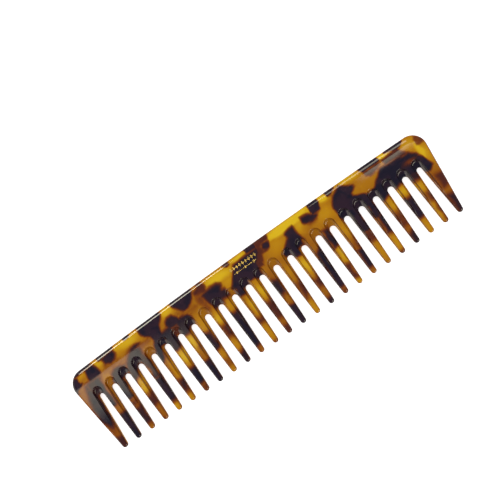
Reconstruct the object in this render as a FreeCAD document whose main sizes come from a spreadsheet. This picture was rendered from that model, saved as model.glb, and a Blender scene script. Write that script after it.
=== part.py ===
import FreeCAD, Part

# Wide-tooth hair comb with a gently arched back, cut from one sheet of tortoiseshell acetate.
#
# Frame (mm): X runs along the comb, +Y points from the tooth tips to the back, +Z is the face
# normal. The comb lies flat on its lower face (z = 0). Inside each body the mid-plane of the
# sheet is z = 0; the body placement lifts it by half the thickness.
#
# Pieces: comb_body (back, teeth and root scoops in one solid) and the gold foil pressed into its
# upper face: foil_lozenges (row nearer the back) and foil_rule (row nearer the teeth).

import math
import os
from types import SimpleNamespace

import Sketcher
from FreeCAD import Placement, Rotation, Vector

doc = FreeCAD.newDocument("wide_tooth_comb")

# ---------------------------------------------------------------- driving sizes
# alias, value (mm or degrees), meaning
SIZES = [
    ("tooth_pitch", 7.3, "spacing of the tooth centre lines"),
    ("thickness", 4.6, "between the two flat faces"),
    ("arch_span", 90.0, "half span over which the arches are stated"),
    ("back_y", 20.3, "back edge at the middle"),
    ("back_drop", 1.23, "fall of the back edge at arch_span"),
    ("tip_y", 20.3, "tooth tips below the centre line, at the middle"),
    ("tip_rise", 0.35, "rise of the tip line at arch_span"),
    ("end_top_x", 92.65, "half length of the leaning ends at end_top_y"),
    ("end_top_y", 12.6, "height of end_top_x"),
    ("end_low_x", 88.75, "half length of the leaning ends at end_low_y"),
    ("end_low_y", 20.3, "depth of end_low_x under the centre line"),
    ("corner_radius", 6.5, "outer corners of the back"),
    ("rim_radius", 1.6, "rounding around the back and the ends"),
    ("root_y", 6.87, "top of the slots at the middle"),
    ("root_drop", 1.72, "fall of the slot tops at arch_span"),
    ("slot_radius", 1.5, "round top of a slot"),
    ("guard_extra", 0.5, "extra root width of the two end teeth"),
    ("tip_radius", 1.25, "round tooth tip, in plan"),
    ("scoop_radius", 2.55, "round top of a scoop on the face"),
    ("scoop_rise", 4.1, "top of a scoop above its slot"),
    ("scoop_low_half", 3.4, "half width of a scoop where it runs out past the tips"),
    ("scoop_depth", 1.55, "floor of a scoop under the face"),
    ("scoop_lean", 33.0, "lean of the scoop wall from the face normal, degrees"),
    ("scoop_blend", 1.0, "blend between scoop wall and floor"),
    ("crease_y", 12.7, "where the faces start to fall towards the back"),
    ("back_half", 1.85, "half thickness at the back edge, before its rounding"),
    ("taper_y", 0.5, "where the teeth start to thin"),
    ("tip_half", 1.4, "half thickness at the tips, before their rounding"),
    ("nose", 1.1, "length of the rounded nose of a tooth, seen from the side"),
    ("nose_half", 0.45, "half thickness left at the very tip"),
    ("nose_radius", 1.15, "radius of the nose"),
    ("stamp_depth", 0.1, "depth of the foil impression"),
    ("foil_thickness", 0.06, "gold foil in the impression"),
    ("foil_gap", 0.02, "play between foil and impression"),
    ("stamp_x", 0.5, "middle of the foil mark"),
    ("row_up", 3.2, "lozenge row above the crease line"),
    ("row_count", 9, "lozenges in the row"),
    ("row_pitch", 1.55, "their spacing"),
    ("lozenge_half_width", 0.55, "half width of a lozenge"),
    ("lozenge_half_height", 0.95, "half height of a lozenge"),
    ("thread_half", 0.1, "half width of the line that strings the lozenges"),
    ("rule_up", 1.05, "rule above the crease line"),
    ("rule_half_length", 5.6, "half length of the rule"),
    ("rule_half", 0.15, "half width of the rule"),
    ("stud_half_width", 0.75, "half width of the three studs on the rule"),
    ("stud_half_height", 0.62, "half height of the studs"),
    ("stud_pitch", 4.4, "spacing of the studs"),
    ("blank_past_tips", 2.0, "blank left beyond the tips, sawn off later"),
    ("scoop_past_tips", 3.5, "scoop outlines beyond the tips"),
    ("saw_past_tips", 4.0, "saw outline beyond the tips"),
    ("saw_past_ends", 3.0, "saw outline beyond the ends"),
    ("facet_past_back", 1.0, "facet cut beyond the back edge"),
    ("facet_above", 1.0, "facet cuts beyond the flat faces"),
    ("taper_past_tips", 3.0, "thinning cut beyond the tips"),
    ("nose_past_tips", 0.02, "end of the nose arc beyond the tips"),
    ("stamp_above", 0.5, "start of the impression cut above the facet"),
]
TEETH = 25
SLOTS = TEETH - 1
STUDS = 3

params = doc.addObject("Spreadsheet::Sheet", "Params")
for row_number, (alias, value, note) in enumerate(SIZES, start=1):
    params.set(f"A{row_number}", alias)
    params.set(f"B{row_number}", str(value))
    params.set(f"C{row_number}", note)
    params.setAlias(f"B{row_number}", alias)
doc.recompute()
size = SimpleNamespace(**{alias: float(getattr(params, alias)) for alias, _, _ in SIZES})

# expressions used in several places
HALF_THICKNESS = "Params.thickness / 2"
BACK_RADIUS = "Params.arch_span ^ 2 / (2 * Params.back_drop)"
FACET_SLOPE = (
    "(Params.thickness / 2 - Params.back_half) / (Params.back_y - Params.crease_y)"
)
FACET_LEAN = f"atan({FACET_SLOPE})"

# sketcher numbers: points of a geometry, the origin and the vertical axis
START, END, CENTRE = 1, 2, 3
ORIGIN, VERTICAL_AXIS = -1, -2


# ---------------------------------------------------------------- expressions and features
def number(expression):
    """The present value of a spreadsheet expression."""
    return float(params.evalExpression(expression))


def at(x_expression, y_expression):
    return number(x_expression), number(y_expression)


def bind(feature, **expressions):
    """Sets properties and ties them to their expressions."""
    for name, expression in expressions.items():
        setattr(feature, name, number(expression))
        feature.setExpression(name, expression)


def origin_feature(body, role):
    return next(item for item in body.Origin.OriginFeatures if item.Role == role)


def both_sides(feature):
    """Extrudes a feature evenly to both sides of its sketch."""
    # the property that does this depends on the FreeCAD release
    if hasattr(feature, "SideType"):
        feature.SideType = "Symmetric"
    else:
        feature.Midplane = True


def extrude(body, kind, name, sketch, length):
    """A pad or pocket of a given length; the caller recomputes."""
    feature = body.newObject(f"PartDesign::{kind}", name)
    feature.Profile = sketch
    bind(feature, Length=length)
    return feature


def cut_through(body, name, sketch):
    pocket = body.newObject("PartDesign::Pocket", name)
    pocket.Profile = sketch
    pocket.Type = "ThroughAll"
    both_sides(pocket)
    doc.recompute()


def fillet(body, name, base, radius, chosen):
    """Rounds the edges of base whose bounding box is chosen."""
    edges = [
        f"Edge{index}"
        for index, edge in enumerate(base.Shape.Edges, start=1)
        if chosen(edge.BoundBox)
    ]
    rounding = body.newObject("PartDesign::Fillet", name)
    rounding.Base = (base, edges)
    bind(rounding, Radius=radius)
    doc.recompute()


# ---------------------------------------------------------------- sketches
class Profile:
    """A sketch on one of the body's origin planes, drawn at its final size, then constrained."""

    def __init__(self, body, name, role="XY_Plane"):
        self.sketch = body.newObject("Sketcher::SketchObject", name)
        self.sketch.AttachmentSupport = [(origin_feature(body, role), "")]
        self.sketch.MapMode = "FlatFace"
        self.constraints = []
        self.named = []

    def offset(self, rotation=Rotation(), **coordinates):
        """Moves the sketch off its plane; coordinates are expressions for x, y and z."""
        base = Vector()
        for axis, expression in coordinates.items():
            setattr(base, axis, number(expression))
        self.sketch.AttachmentOffset = Placement(base, rotation)
        for axis, expression in coordinates.items():
            self.sketch.setExpression(f"AttachmentOffset.Base.{axis}", expression)

    def mark(self, point):
        """Construction point."""
        return self.sketch.addGeometry(Part.Point(Vector(*point, 0)), True)

    def line(self, start, end):
        segment = Part.LineSegment(Vector(*start, 0), Vector(*end, 0))
        return self.sketch.addGeometry(segment, False)

    def chain(self, points):
        """Joined lines through the points."""
        lines = [self.line(start, end) for start, end in zip(points, points[1:])]
        for line, following in zip(lines, lines[1:]):
            self.join(line, END, following, START)
        return lines

    def polygon(self, corners):
        """Closed chain; each corner is a pair of expressions."""
        points = [at(*corner) for corner in corners]
        lines = self.chain(points + points[:1])
        self.join(lines[-1], END, lines[0], START)
        return lines

    def arc(self, centre, radius, start, end):
        """Anticlockwise arc from point start to point end."""
        start_angle = math.atan2(start[1] - centre[1], start[0] - centre[0])
        end_angle = math.atan2(end[1] - centre[1], end[0] - centre[0])
        while end_angle <= start_angle:
            end_angle += 2 * math.pi
        circle = Part.Circle(Vector(*centre, 0), Vector(0, 0, 1), radius)
        return self.sketch.addGeometry(Part.ArcOfCircle(circle, start_angle, end_angle), False)

    def tie(self, *args):
        self.constraints.append(Sketcher.Constraint(*args))

    def join(self, first, first_point, second, second_point):
        self.tie("Coincident", first, first_point, second, second_point)

    def dimension(self, name, expression, *args):
        self.named.append((len(self.constraints), name, expression))
        self.tie(*args, number(expression))

    def radius(self, name, expression, arc):
        self.dimension(name, expression, "Radius", arc)

    def pin(self, name, geometry, point, x_expression, y_expression):
        """Places a point; an expression of None leaves that direction free."""
        for axis, expression in (("X", x_expression), ("Y", y_expression)):
            if expression:
                self.dimension(
                    f"{name}_{axis.lower()}", expression,
                    f"Distance{axis}", ORIGIN, 1, geometry, point,
                )

    def finish(self):
        first = self.sketch.ConstraintCount
        self.sketch.addConstraint(self.constraints)
        for index, name, expression in self.named:
            self.sketch.renameConstraint(first + index, name)
            self.sketch.setExpression(f"Constraints.{name}", expression)
        self.sketch.Visibility = False
        doc.recompute()
        if self.sketch.solve() != 0:
            raise RuntimeError(f"{self.sketch.Name} does not solve")
        return self.sketch


def tangent_points(tip, tip_radius, top, top_radius, side):
    """Touching points of a line that passes between two circles, a tip below and a top above.

    side is +1 where the line has the tip on its left, -1 where it has the tip on its right.
    """
    across, up = top[0] - tip[0], top[1] - tip[1]
    swing = math.acos((tip_radius + top_radius) / math.hypot(across, up))
    angle = math.atan2(up, across) - side * swing
    unit_x, unit_y = math.cos(angle), math.sin(angle)
    return (
        (tip[0] + tip_radius * unit_x, tip[1] + tip_radius * unit_y),
        (top[0] - top_radius * unit_x, top[1] - top_radius * unit_y),
    )


# ---------------------------------------------------------------- places of slots and teeth
def bow(height, step):
    """Parabolic arch: its height at a number of pitches from the middle, as an expression."""
    return f"Params.{height} * ({step} * Params.tooth_pitch / Params.arch_span) ^ 2"


def slot_place(index):
    """Expressions for a slot; the outermost two are narrowed on the side of the end tooth."""
    step = index - (SLOTS - 1) / 2
    nominal = f"{step} * Params.tooth_pitch"
    shift = {0: " + Params.guard_extra / 2", SLOTS - 1: " - Params.guard_extra / 2"}
    return SimpleNamespace(
        nominal=nominal,
        middle=nominal + shift.get(index, ""),
        top=f"Params.root_y - {bow('root_drop', step)}",
        narrowing=" - Params.guard_extra / 2" if index in shift else "",
    )


def tip_place(index):
    """Expressions for the centre of a round tooth tip."""
    step = index - (TEETH - 1) // 2
    return (
        f"{step} * Params.tooth_pitch",
        f"{bow('tip_rise', step)} + Params.tip_radius - Params.tip_y",
    )


def size_tops(profile, name, arcs, radii):
    """Dimensions the two outermost tops and the first regular one, which the rest repeat."""
    for index, (arc, radius) in enumerate(zip(arcs, radii)):
        if index in (0, 1, SLOTS - 1):
            profile.radius(f"{name}{index}", radius, arc)
        else:
            profile.tie("Equal", arcs[1], arc)


# ================================================================ comb_body
def blank_profile(body):
    """Arched back, round corners, leaning ends; it runs past the tips."""
    back_radius = number(BACK_RADIUS)
    corner_radius = size.corner_radius
    lean = math.atan2(size.end_top_x - size.end_low_x, size.end_top_y + size.end_low_y)
    outward = Vector(math.cos(lean), -math.sin(lean), 0)
    along_end = Vector(math.sin(lean), math.cos(lean), 0)

    # the corner centre lies one corner radius inside both the end line and the back arc
    back_centre = Vector(0, size.back_y - back_radius, 0)
    end_top = Vector(size.end_top_x, size.end_top_y, 0)
    inset = end_top - outward * corner_radius
    spoke = inset - back_centre
    lift = spoke.dot(along_end)
    reach = (back_radius - corner_radius) ** 2 - spoke.dot(spoke) + lift**2
    corner = inset + along_end * (math.sqrt(reach) - lift)
    touch_end = corner + outward * corner_radius
    touch_back = corner + (corner - back_centre).normalize() * corner_radius

    def right(point):
        return point.x, point.y

    def left(point):
        return -point.x, point.y

    low = Vector(
        size.end_low_x - size.blank_past_tips * math.tan(lean),
        -(size.tip_y + size.blank_past_tips),
        0,
    )
    profile = Profile(body, "blank_profile")
    back = profile.arc(right(back_centre), back_radius, right(touch_back), left(touch_back))
    corner_right = profile.arc(right(corner), corner_radius, right(touch_end), right(touch_back))
    corner_left = profile.arc(left(corner), corner_radius, left(touch_back), left(touch_end))
    end_right = profile.line(right(touch_end), right(low))
    end_left = profile.line(left(touch_end), left(low))
    bottom = profile.line(left(low), right(low))
    mark_top = profile.mark(right(end_top))
    mark_low = profile.mark((size.end_low_x, -size.end_low_y))

    profile.tie("Tangent", corner_right, END, back, START)
    profile.tie("Tangent", back, END, corner_left, START)
    profile.tie("Tangent", corner_right, START, end_right, START)
    profile.tie("Tangent", corner_left, END, end_left, START)
    profile.join(end_right, END, bottom, END)
    profile.join(end_left, END, bottom, START)
    profile.tie("PointOnObject", back, CENTRE, VERTICAL_AXIS)
    profile.tie("Symmetric", bottom, START, bottom, END, VERTICAL_AXIS)
    profile.tie("PointOnObject", mark_top, START, end_right)
    profile.tie("PointOnObject", mark_low, START, end_right)
    profile.tie("Symmetric", corner_right, CENTRE, corner_left, CENTRE, VERTICAL_AXIS)
    profile.radius("corner_right", "Params.corner_radius", corner_right)
    profile.radius("back_radius", BACK_RADIUS, back)
    profile.pin("back_centre", back, CENTRE, None, f"Params.back_y - {BACK_RADIUS}")
    profile.pin("end_top", mark_top, START, "Params.end_top_x", "Params.end_top_y")
    profile.pin("end_low", mark_low, START, "Params.end_low_x", "-Params.end_low_y")
    profile.pin("bottom", bottom, START, None, "-(Params.tip_y + Params.blank_past_tips)")
    return profile.finish()


def build_blank(body):
    blank = extrude(body, "Pad", "blank", blank_profile(body), "Params.thickness")
    both_sides(blank)
    doc.recompute()

    def on_rim(box):
        is_bottom = box.YLength < 1e-6 and box.YMax < -size.tip_y
        return box.ZLength < 1e-6 and not is_bottom

    fillet(body, "rim", blank, "Params.rim_radius", on_rim)


def scoop_profile(body, tag, height):
    """Outlines of the scoops on one face, round at the top and open past the tips."""
    profile = Profile(body, f"scoop_profile_{tag}")
    profile.offset(z=height)
    low_y = "-(Params.tip_y + Params.scoop_past_tips)"
    arcs, radii = [], []
    for index in range(SLOTS):
        slot = slot_place(index)
        radius = f"Params.scoop_radius{slot.narrowing}"
        centre = (slot.middle, f"{slot.top} + Params.scoop_rise - ({radius})")
        low_left = (f"{slot.nominal} - Params.scoop_low_half", low_y)
        low_right = (f"{slot.nominal} + Params.scoop_low_half", low_y)
        round_top = (at(*centre), number(radius))
        touch_right = tangent_points(at(*low_right), 0, *round_top, -1)[1]
        touch_left = tangent_points(at(*low_left), 0, *round_top, 1)[1]

        arc = profile.arc(*round_top, touch_right, touch_left)
        right = profile.line(at(*low_right), touch_right)
        left = profile.line(touch_left, at(*low_left))
        low = profile.line(at(*low_left), at(*low_right))
        profile.tie("Tangent", right, END, arc, START)
        profile.tie("Tangent", arc, END, left, START)
        profile.join(left, END, low, START)
        profile.join(low, END, right, START)
        profile.tie("Horizontal", low)
        profile.pin(f"middle{index}", arc, CENTRE, *centre)
        profile.pin(f"low_left{index}", low, START, *low_left)
        profile.pin(f"low_right{index}", low, END, low_right[0], None)
        arcs.append(arc)
        radii.append(radius)
    size_tops(profile, "round", arcs, radii)
    return profile.finish()


def cut_scoops(body, side, tag):
    """A leaning, blended countersink around every slot, on one face."""
    height = HALF_THICKNESS if side > 0 else f"-({HALF_THICKNESS})"
    sketch = scoop_profile(body, tag, height)
    scoops = extrude(body, "Pocket", f"scoops_{tag}", sketch, "Params.scoop_depth")
    scoops.Type = "Length"
    bind(scoops, TaperAngle="-Params.scoop_lean")
    scoops.Reversed = side < 0
    doc.recompute()

    floor_z = side * (size.thickness / 2 - size.scoop_depth)

    def on_floor(box):
        is_level = abs(box.ZMin - floor_z) < 1e-5 and abs(box.ZMax - floor_z) < 1e-5
        return is_level and box.YMax - box.YMin > 0.5

    fillet(body, f"scoop_blend_{tag}", scoops, "Params.scoop_blend", on_floor)


# The side profile lies in the YZ plane: sketch x is Y and sketch y is Z.
def draw_back_facet(profile, sign, tag):
    """Waste over the facet that falls from the crease to the back."""
    face = f"{sign}({HALF_THICKNESS})"
    above = f"{sign}({HALF_THICKNESS} + Params.facet_above)"
    past_back = "Params.back_y + Params.facet_past_back"
    heel = f"{sign}(Params.back_half - {FACET_SLOPE} * Params.facet_past_back)"
    slope, rear, top, front = profile.polygon([
        ("Params.crease_y", face),
        (past_back, heel),
        (past_back, above),
        ("Params.crease_y", above),
    ])
    profile.pin(f"crease_{tag}", slope, START, "Params.crease_y", face)
    profile.pin(f"heel_{tag}", rear, START, past_back, heel)
    profile.tie("Vertical", rear)
    profile.tie("Vertical", front)
    profile.tie("Horizontal", top)
    profile.pin(f"above_back_{tag}", top, START, None, above)


def draw_tooth_taper(profile, side, sign, tag):
    """Waste over the thinning of the teeth and their round noses."""
    above = f"{sign}({HALF_THICKNESS} + Params.facet_above)"
    taper = ("Params.taper_y", f"{sign}({HALF_THICKNESS})")
    nose = ("Params.nose - Params.tip_y", f"{sign}Params.tip_half")
    tip = ("-(Params.tip_y + Params.nose_past_tips)", f"{sign}Params.nose_half")
    past_tip = "-(Params.tip_y + Params.taper_past_tips)"

    # the nose arc turns around a centre inside the tooth
    nose_point, tip_point = Vector(*at(*nose), 0), Vector(*at(*tip), 0)
    chord = tip_point - nose_point
    inward = Vector(-chord.y, chord.x, 0).normalize() * side
    reach = math.sqrt(size.nose_radius**2 - (chord.Length / 2) ** 2)
    centre = (nose_point + tip_point) * 0.5 + inward * reach

    thinning = profile.line(at(*taper), at(*nose))
    # arcs are anticlockwise, so the lower one starts at the tip
    ends = (at(*nose), at(*tip)) if side > 0 else (at(*tip), at(*nose))
    nose_end, tip_end = (START, END) if side > 0 else (END, START)
    arc = profile.arc((centre.x, centre.y), size.nose_radius, *ends)
    run_out, far, top, near = profile.chain([
        at(*tip),
        at(past_tip, tip[1]),
        at(past_tip, above),
        at(taper[0], above),
        at(*taper),
    ])
    profile.join(thinning, END, arc, nose_end)
    profile.join(arc, tip_end, run_out, START)
    profile.join(near, END, thinning, START)
    profile.tie("Horizontal", run_out)
    profile.tie("Vertical", far)
    profile.tie("Horizontal", top)
    profile.tie("Vertical", near)
    profile.pin(f"taper_{tag}", thinning, START, *taper)
    profile.pin(f"nose_{tag}", thinning, END, *nose)
    profile.pin(f"tip_{tag}", run_out, START, *tip)
    profile.pin(f"past_tip_{tag}", far, START, past_tip, None)
    profile.pin(f"above_tip_{tag}", top, START, None, above)
    profile.radius(f"nose_radius_{tag}", "Params.nose_radius", arc)


def cut_facets(body):
    profile = Profile(body, "side_profile", "YZ_Plane")
    for side, sign, tag in ((1, "", "upper"), (-1, "-", "lower")):
        draw_back_facet(profile, sign, tag)
        draw_tooth_taper(profile, side, sign, tag)
    cut_through(body, "facets", profile.finish())


def saw_teeth(body):
    """One saw outline runs around all tips and up and over all slots."""
    profile = Profile(body, "saw_profile")
    tips = [tip_place(index) for index in range(TEETH)]
    tip_points = [at(*tip) for tip in tips]
    tops, radii = [], []
    for index in range(SLOTS):
        slot = slot_place(index)
        radius = f"Params.slot_radius{slot.narrowing}"
        tops.append((slot.middle, f"{slot.top} - ({radius})"))
        radii.append(radius)
    round_tops = [(at(*top), number(radius)) for top, radius in zip(tops, radii)]

    # each slot has a left and a right flank, each a pair of points from tip to top
    flanks = [
        (tangent_points(tip_points[index], size.tip_radius, *round_top, 1),
         tangent_points(tip_points[index + 1], size.tip_radius, *round_top, -1))
        for index, round_top in enumerate(round_tops)
    ]
    # where the outline meets each tip, left and right in turn
    feet = [(tip_points[0][0] - size.tip_radius, tip_points[0][1])]
    for left, right in flanks:
        feet += [left[0], right[0]]
    feet.append((tip_points[-1][0] + size.tip_radius, tip_points[-1][1]))

    tip_arcs = [
        profile.arc(centre, size.tip_radius, feet[2 * index], feet[2 * index + 1])
        for index, centre in enumerate(tip_points)
    ]
    top_arcs = [
        profile.arc(*round_top, right[1], left[1])
        for round_top, (left, right) in zip(round_tops, flanks)
    ]
    profile.radius("tip_round", "Params.tip_radius", tip_arcs[0])
    for arc in tip_arcs[1:]:
        profile.tie("Equal", tip_arcs[0], arc)
    for index, (arc, tip) in enumerate(zip(tip_arcs, tips)):
        profile.pin(f"tip{index}", arc, CENTRE, *tip)
    size_tops(profile, "top_round", top_arcs, radii)
    for index, (arc, top) in enumerate(zip(top_arcs, tops)):
        profile.pin(f"top{index}", arc, CENTRE, *top)
        left = profile.line(*flanks[index][0])
        right = profile.line(*flanks[index][1])
        profile.tie("Tangent", left, START, tip_arcs[index], END)
        profile.tie("Tangent", left, END, arc, END)
        profile.tie("Tangent", right, START, tip_arcs[index + 1], START)
        profile.tie("Tangent", right, END, arc, START)

    # the outline closes in the waste beyond the ends and the tips
    out_x = "Params.end_top_x + Params.saw_past_ends"
    out_left = (f"-({out_x})", "-(Params.tip_y + Params.saw_past_tips)")
    left_x, low_y = at(*out_left)
    first_foot, last_foot = feet[0], feet[-1]
    run = profile.chain([
        first_foot,
        (left_x, first_foot[1]),
        (left_x, low_y),
        (-left_x, low_y),
        (-left_x, last_foot[1]),
        last_foot,
    ])
    profile.join(tip_arcs[0], START, run[0], START)
    profile.join(run[-1], END, tip_arcs[-1], END)
    for index, line in enumerate(run):
        profile.tie("Vertical" if index % 2 else "Horizontal", line)
    profile.pin("start", run[0], START, None, tips[0][1])
    profile.pin("stop", run[4], END, None, tips[-1][1])
    profile.pin("out_left", run[1], END, *out_left)
    profile.pin("out_right", run[3], START, out_x, None)
    cut_through(body, "saw", profile.finish())


# ================================================================ foil mark
# Both rows are a thin bar with lozenges on it; all sizes but the count are expressions.
ROWS = [
    SimpleNamespace(
        tag="lozenges",
        up="Params.row_up",
        bar_half_length="(Params.row_count - 1) / 2 * Params.row_pitch",
        bar_half="Params.thread_half",
        half_width="Params.lozenge_half_width",
        half_height="Params.lozenge_half_height",
        pitch="Params.row_pitch",
        count=int(size.row_count),
    ),
    SimpleNamespace(
        tag="rule",
        up="Params.rule_up",
        bar_half_length="Params.rule_half_length",
        bar_half="Params.rule_half",
        half_width="Params.stud_half_width",
        half_height="Params.stud_half_height",
        pitch="Params.stud_pitch",
        count=STUDS,
    ),
]


def facet_profile(body, name, lift):
    """A sketch parallel to the upper facet; its y runs up the facet from the crease."""
    profile = Profile(body, name)
    lean = math.degrees(math.atan(number(FACET_SLOPE)))
    profile.offset(
        rotation=Rotation(Vector(1, 0, 0), -lean),
        x="Params.stamp_x",
        y=f"Params.crease_y + ({lift}) * sin({FACET_LEAN})",
        z=f"{HALF_THICKNESS} + ({lift}) * cos({FACET_LEAN})",
    )
    return profile


def bar_profile(body, row, lift, gap):
    profile = facet_profile(body, f"{row.tag}_bar_profile", lift)
    right = f"({row.bar_half_length} + ({gap}))"
    left = f"-{right}"
    low = f"{row.up} - ({row.bar_half} + ({gap}))"
    high = f"{row.up} + ({row.bar_half} + ({gap}))"
    lines = profile.polygon([(left, low), (right, low), (right, high), (left, high)])
    for index, line in enumerate(lines):
        profile.tie("Vertical" if index % 2 else "Horizontal", line)
    profile.pin("bar_low", lines[0], START, left, low)
    profile.pin("bar_high", lines[2], START, right, high)
    return profile.finish()


def lozenge_profile(body, row, lift, gap):
    """The leftmost lozenge of a row."""
    profile = facet_profile(body, f"{row.tag}_profile", lift)
    wide, tall = row.half_width, row.half_height
    # growing a lozenge evenly by the gap lengthens its diagonals
    slant = f"sqrt(({wide}) ^ 2 + ({tall}) ^ 2)"
    grown_wide = f"({wide} + ({gap}) * {slant} / {tall})"
    grown_tall = f"({tall} + ({gap}) * {slant} / {wide})"
    middle = f"-({row.count - 1} / 2 * {row.pitch})"
    corners = {
        "low": (middle, f"{row.up} - {grown_tall}"),
        "right": (f"{middle} + {grown_wide}", row.up),
        "high": (middle, f"{row.up} + {grown_tall}"),
        "left": (f"{middle} - {grown_wide}", row.up),
    }
    lines = profile.polygon(list(corners.values()))
    for line, (name, corner) in zip(lines, corners.items()):
        profile.pin(name, line, START, *corner)
    return profile.finish()


def build_row(body, row, kind, depth, lift, gap):
    """One row of the mark, as pads (foil) or as pockets (impression)."""
    extrude(body, kind, f"{row.tag}_bar", bar_profile(body, row, lift, gap), depth)
    doc.recompute()
    lozenge = lozenge_profile(body, row, lift, gap)
    first = extrude(body, kind, f"{row.tag}_first", lozenge, depth)
    doc.recompute()
    pattern = body.newObject("PartDesign::LinearPattern", f"{row.tag}_row")
    pattern.Originals = [first]
    pattern.Direction = (origin_feature(body, "X_Axis"), [""])
    bind(pattern, Length=f"{row.count - 1} * {row.pitch}")
    pattern.Occurrences = row.count
    body.Tip = pattern
    doc.recompute()


# ================================================================ pieces
def new_body(label):
    body = doc.addObject("PartDesign::Body", label)
    body.Label = label
    return body


def build_comb():
    body = new_body("comb_body")
    build_blank(body)
    cut_scoops(body, 1, "upper")
    cut_scoops(body, -1, "lower")
    cut_facets(body)
    saw_teeth(body)
    for row in ROWS:
        build_row(
            body, row, "Pocket",
            depth="Params.stamp_depth + Params.stamp_above",
            lift="Params.stamp_above",
            gap="Params.foil_gap",
        )
    return body


def build_foil(row):
    """Foil on the floor of the impression."""
    body = new_body(f"foil_{row.tag}")
    build_row(
        body, row, "Pad", depth="Params.foil_thickness", lift="-Params.stamp_depth", gap="0"
    )
    return body


pieces = [build_comb()] + [build_foil(row) for row in ROWS]

# the comb lies on its lower face
for piece in pieces:
    piece.Placement = Placement(Vector(0, 0, size.thickness / 2), Rotation())
    piece.setExpression("Placement.Base.z", HALF_THICKNESS)
doc.recompute()

# ================================================================ export
for item in doc.Objects:
    if "Invalid" in item.State or "Error" in item.State:
        raise RuntimeError(f"{item.Name} is not sound: {item.State}")

os.makedirs("parts", exist_ok=True)
for piece in pieces:
    shape = piece.Shape
    if shape.isNull() or not shape.isValid() or len(shape.Solids) != 1:
        raise RuntimeError(f"{piece.Label} is not one sound solid")
    shape.exportStep(f"parts/{piece.Label}.step")
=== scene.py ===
"""Looks of a wide-tooth tortoiseshell comb: polished cellulose acetate with gold foil on its face.

The body is one welded quad mesh with saw slots, scooped roots, rounded teeth, facets towards the
back and the tips, and a rounded rim. Sizes are in millimetres: X along the comb, Y from the tooth
tips to the back, z = 0 on the mid-plane of the sheet. The finished meshes are in metres and rest
on z = 0.
"""

import math

import bmesh
import bpy
import numpy as np
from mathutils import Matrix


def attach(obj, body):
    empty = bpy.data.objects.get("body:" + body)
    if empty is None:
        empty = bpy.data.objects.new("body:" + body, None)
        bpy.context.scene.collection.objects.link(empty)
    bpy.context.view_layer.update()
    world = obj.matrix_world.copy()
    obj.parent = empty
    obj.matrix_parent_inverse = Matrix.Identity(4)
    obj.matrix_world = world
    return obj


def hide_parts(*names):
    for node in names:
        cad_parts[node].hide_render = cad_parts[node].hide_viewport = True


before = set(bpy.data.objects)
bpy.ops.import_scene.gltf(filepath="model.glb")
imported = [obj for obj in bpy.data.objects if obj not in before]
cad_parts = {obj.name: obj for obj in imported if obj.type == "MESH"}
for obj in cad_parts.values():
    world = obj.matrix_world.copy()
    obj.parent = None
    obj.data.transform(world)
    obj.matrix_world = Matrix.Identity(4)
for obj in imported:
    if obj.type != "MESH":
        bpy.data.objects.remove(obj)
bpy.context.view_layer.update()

MM = 1000.0  # millimetres in a metre

# ------------------------------------------------------------------ shape of the comb
HALF = 2.3  # half the sheet's thickness
PITCH, TEETH = 7.3, 25
SLOTS = TEETH - 1
MIDDLE_TOOTH, MIDDLE_SLOT = TEETH // 2, (SLOTS - 1) / 2
TIP_R, SLOT_R, SCOOP_R, SCOOP_RISE = 1.25, 1.5, 2.55, 4.1
CROWN_R = 0.34  # where the scoop's upper line runs round a tooth tip
END_SLOT_NARROW = 0.25  # the two outermost slots are slimmer and sit further in
BORDER_UP = 4.75  # from the slot tops to the border between tooth patches and back

# The back, tips and slot tops are shallow curves: height at x = 0 and its change at |x| = SPAN
SPAN = 90.0
BACK_Y, BACK_DROP = 20.3, 1.23
TIP_Y, TIP_LIFT = -BACK_Y, 0.35
SLOT_TOP_Y, SLOT_TOP_DROP = 6.87, 1.72

# Each end is a straight line leaning outwards, joined to the back by a round corner
END_LOW_X, END_HIGH_X, END_RISE = 88.75, 92.65, 32.9
TILT = math.atan2(END_HIGH_X - END_LOW_X, END_RISE)
OUTWARD = np.array([math.cos(TILT), -math.sin(TILT)])
CORNER_R = 6.5

# The broad face falls from the crease to the back and from the taper line to the tips
CREASE_Y, BACK_HALF = 12.7, 1.85
TAPER_Y, TAPER_END_Y, TIP_HALF = 0.5, -19.2, 1.4


def smooth(low, high, value):
    """Smoothstep from 0 at low to 1 at high."""
    share = np.clip((np.asarray(value, float) - low) / (high - low), 0, 1)
    return share * share * (3 - 2 * share)


def back_y(x):
    return BACK_Y - BACK_DROP * (x / SPAN) ** 2


def tip_y(x):
    return TIP_Y + TIP_LIFT * (x / SPAN) ** 2


def slot_top(x):
    return SLOT_TOP_Y - SLOT_TOP_DROP * (x / SPAN) ** 2


def border_y(x):
    return slot_top(x) + BORDER_UP


def end_x(y):
    return END_LOW_X + (y - TIP_Y) / END_RISE * (END_HIGH_X - END_LOW_X)


def tooth_x(tooth):
    return (tooth - MIDDLE_TOOTH) * PITCH


def slot_x(slot):
    return (slot - MIDDLE_SLOT) * PITCH


def slot_shift(slot):
    """Inward shift of the outermost slots from their nominal place."""
    return {0: END_SLOT_NARROW, SLOTS - 1: -END_SLOT_NARROW}.get(slot, 0.0)


def gap_to_end(point):
    """Distance from a point to the right end's straight line."""
    return np.dot(np.array([end_x(point[1]), point[1]]) - point, OUTWARD)


def fit_corner():
    """Centre of the right corner's circle, which touches the leaning end and the back's arc."""
    back_radius = SPAN**2 / (2 * BACK_DROP)
    back_centre = np.array([0.0, BACK_Y - back_radius])
    start_y = 12.0
    centre = np.array([end_x(start_y) - CORNER_R, start_y])
    for _ in range(80):
        centre = centre + OUTWARD * (gap_to_end(centre) - CORNER_R)
        spoke = centre - back_centre
        length = np.linalg.norm(spoke)
        centre = centre + spoke / length * ((back_radius - CORNER_R) - length)
    return centre


corner = fit_corner()


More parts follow.
